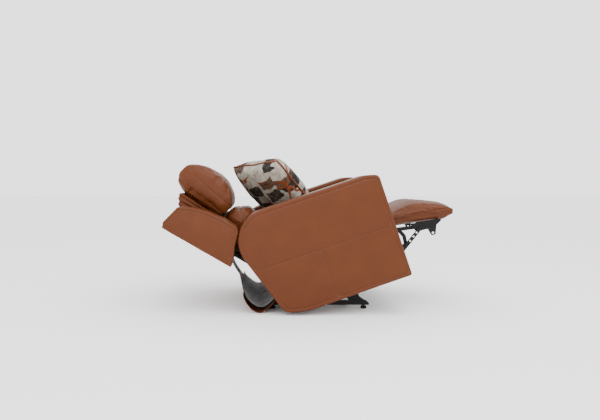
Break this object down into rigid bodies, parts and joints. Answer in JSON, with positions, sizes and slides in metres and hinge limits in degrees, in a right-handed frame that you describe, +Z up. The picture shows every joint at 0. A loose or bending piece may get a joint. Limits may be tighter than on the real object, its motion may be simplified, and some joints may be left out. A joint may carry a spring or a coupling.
{
  "type": "recliner armchair",
  "caption": "Upholstered power recliner armchair with tilting seat, reclining back, hinged headrest, linkage footrest and loose throw pillow.",
  "frame": {"origin": "on the floor, under the middle of the chair's box in the modelled, reclined pose", "axes": "+Z up, -Y the way the sitter faces, +X the sitter's left"},
  "size_m": [0.93, 1.6852, 0.8633],
  "materials": {
    "tan_leather": "semi-matt stitched leather",
    "skirt_leather": "leather flap with a charcoal backing",
    "pillow_fabric": "woven print",
    "glide_rubber": "matt",
    "panel_wood": "bare plywood",
    "rod_steel": "brushed",
    "black_plastic": "matt",
    "spring_steel": "drawn wire",
    "black_steel": "powder coated"
  },
  "bodies": {
    "base": {"base_rail_left": "black_steel", "base_rail_right": "black_steel", "base_cross_tube_front": "black_steel", "base_cross_tube_rear": "black_steel", "front_leg_bracket_left": "black_steel", "front_leg_bracket_right": "black_steel", "tilt_stand_left": "black_steel", "tilt_stand_right": "black_steel", "floor_glide_front_left": "glide_rubber", "floor_glide_front_right": "glide_rubber", "floor_glide_rear_left": "glide_rubber", "floor_glide_rear_right": "glide_rubber"},
    "seat_chassis": {"chassis_side_plate_left": "black_steel", "chassis_side_plate_right": "black_steel", "chassis_front_tube": "black_steel", "chassis_rear_tube": "black_steel", "seat_spring_deck": "spring_steel", "seat_cushion": "tan_leather", "front_border": "tan_leather", "arm_left": "tan_leather", "arm_right": "tan_leather", "control_panel": "black_plastic", "power_inlet": "black_plastic"},
    "backrest": {"back_board": "panel_wood", "back_cushion": "tan_leather", "recline_lever_bar": "black_steel", "outside_back": "tan_leather", "headrest_hinge": "black_steel", "headrest_gusset": "tan_leather", "back_skirt": "skirt_leather", "back_wing_left": "tan_leather", "back_wing_right": "tan_leather", "recline_bracket_left": "black_steel", "recline_bracket_right": "black_steel"},
    "headrest": {"headrest": "tan_leather"},
    "swing_links": {"swing_link_left": "black_steel", "swing_link_right": "black_steel", "footrest_torque_tube": "black_steel"},
    "front_links": {"front_link_left": "black_steel", "front_link_right": "black_steel"},
    "guide_links": {"guide_link_left": "black_steel", "guide_link_right": "black_steel"},
    "upper_links": {"upper_link_left": "black_steel", "upper_link_right": "black_steel"},
    "control_links": {"control_link_left": "black_steel", "control_link_right": "black_steel"},
    "footrest": {"footrest_bracket_left": "black_steel", "footrest_bracket_right": "black_steel", "footrest_board": "panel_wood", "footrest_pad": "tan_leather"},
    "pillow": {"throw_pillow": "pillow_fabric"},
    "tilt_actuator_motor_body": {"tilt_actuator_motor": "black_plastic"},
    "tilt_actuator_rod_body": {"tilt_actuator_rod": "rod_steel"},
    "recline_actuator_motor_body": {"recline_actuator_motor": "black_plastic"},
    "recline_actuator_rod_body": {"recline_actuator_rod": "rod_steel"},
    "footrest_actuator_motor_body": {"footrest_actuator_motor": "black_plastic"},
    "footrest_actuator_rod_body": {"footrest_actuator_rod": "rod_steel"},
    "control_button_1_body": {"control_button_1": "black_plastic"},
    "control_button_2_body": {"control_button_2": "black_plastic"},
    "control_button_3_body": {"control_button_3": "black_plastic"}
  },
  "joints": [
    {"name": "seat_tilt", "type": "hinge", "parent": "base", "child": "seat_chassis", "pos_m": [0, 0.01851, 0.20011], "axis": [-1, 0, 0], "range_deg": [-18.5, 0]},
    {"name": "back_recline", "type": "hinge", "parent": "seat_chassis", "child": "backrest", "pos_m": [0, 0.23299, 0.40779], "axis": [-1, 0, 0], "range_deg": [-28, 0], "deforming": ["back_skirt"]},
    {"name": "headrest_tilt", "type": "hinge", "parent": "backrest", "child": "headrest", "pos_m": [0, 0.51699, 0.53761], "axis": [-1, 0, 0], "range_deg": [0, 18], "deforming": ["headrest_gusset"]},
    {"name": "footrest_extend", "type": "hinge", "parent": "seat_chassis", "child": "swing_links", "pos_m": [0, -0.31411, 0.37995], "axis": [-1, 0, 0], "range_deg": [-26.06, 0]},
    {"name": "front_link_turn", "type": "hinge", "parent": "swing_links", "child": "front_links", "pos_m": [0, -0.51848, 0.30492], "axis": [-1, 0, 0], "range_deg": [0, 86.6]},
    {"name": "footrest_turn", "type": "hinge", "parent": "front_links", "child": "footrest", "pos_m": [0, -0.64663, 0.4659], "axis": [-1, 0, 0], "range_deg": [-140.54, 0]},
    {"name": "guide_link_turn", "type": "hinge", "parent": "front_links", "child": "guide_links", "pos_m": [0, -0.57084, 0.37063], "axis": [-1, 0, 0], "range_deg": [0, 1.9]},
    {"name": "upper_link_turn", "type": "hinge", "parent": "footrest", "child": "upper_links", "pos_m": [0, -0.65246, 0.47871], "axis": [-1, 0, 0], "range_deg": [0, 129.62]},
    {"name": "control_link_turn", "type": "hinge", "parent": "seat_chassis", "child": "control_links", "pos_m": [0, -0.21164, 0.39627], "axis": [-1, 0, 0], "range_deg": [-27.09, 0]},
    {"name": "tilt_actuator_pivot", "type": "hinge", "parent": "base", "child": "tilt_actuator_motor_body", "pos_m": [0, 0.19845, 0.075], "axis": [-1, 0, 0], "range_deg": [-10.1, 0]},
    {"name": "tilt_actuator_stroke", "type": "slide", "parent": "tilt_actuator_motor_body", "child": "tilt_actuator_rod_body", "axis": [0, -0.9823, 0.1875], "range_m": [-0.03431, 0]},
    {"name": "recline_actuator_pivot", "type": "hinge", "parent": "seat_chassis", "child": "recline_actuator_motor_body", "pos_m": [0, -0.21153, 0.21381], "axis": [-1, 0, 0], "range_deg": [0, 7]},
    {"name": "recline_actuator_stroke", "type": "slide", "parent": "recline_actuator_motor_body", "child": "recline_actuator_rod_body", "axis": [0, 0.9982, 0.0594], "range_m": [0, 0.09874]},
    {"name": "footrest_actuator_pivot", "type": "hinge", "parent": "seat_chassis", "child": "footrest_actuator_motor_body", "pos_m": [0, 0.07931, 0.13759], "axis": [-1, 0, 0], "range_deg": [0, 2.86]},
    {"name": "footrest_actuator_stroke", "type": "slide", "parent": "footrest_actuator_motor_body", "child": "footrest_actuator_rod_body", "axis": [0, -0.9407, 0.3393], "range_m": [-0.03879, 0]},
    {"name": "control_button_1_press", "type": "slide", "parent": "seat_chassis", "child": "control_button_1_body", "axis": [-1, 0, 0], "range_m": [0, 0.0015], "stiffness_N_per_m": 400, "springref_m": -0.001},
    {"name": "control_button_2_press", "type": "slide", "parent": "seat_chassis", "child": "control_button_2_body", "axis": [-1, 0, 0], "range_m": [0, 0.0015], "stiffness_N_per_m": 400, "springref_m": -0.001},
    {"name": "control_button_3_press", "type": "slide", "parent": "seat_chassis", "child": "control_button_3_body", "axis": [-1, 0, 0], "range_m": [0, 0.0015], "stiffness_N_per_m": 400, "springref_m": -0.001},
    {"name": "pillow_slide", "type": "slide", "parent": "seat_chassis", "child": "pillow", "axis": [0, -0.9483, 0.3173], "range_m": [0, 0.181]}
  ],
  "couplings": [
    {"joint": "front_link_turn", "follows": "footrest_extend", "ratio": -3.3221},
    {"joint": "footrest_turn", "follows": "footrest_extend", "ratio": 5.3918},
    {"joint": "guide_link_turn", "follows": "footrest_extend", "ratio": -0.072039},
    {"joint": "upper_link_turn", "follows": "footrest_extend", "ratio": -4.9728},
    {"joint": "control_link_turn", "follows": "footrest_extend", "ratio": 1.0387},
    {"joint": "tilt_actuator_pivot", "follows": "seat_tilt", "ratio": 0.54496},
    {"joint": "tilt_actuator_stroke", "follows": "seat_tilt", "m_per_rad": 0.10622},
    {"joint": "recline_actuator_pivot", "follows": "back_recline", "ratio": -0.24918},
    {"joint": "recline_actuator_stroke", "follows": "back_recline", "m_per_rad": -0.20203},
    {"joint": "footrest_actuator_pivot", "follows": "footrest_extend", "ratio": -0.10883},
    {"joint": "footrest_actuator_stroke", "follows": "footrest_extend", "m_per_rad": 0.085267},
    {"joint": "pillow_slide", "follows": "back_recline", "m_per_rad": -0.37038}
  ]
}
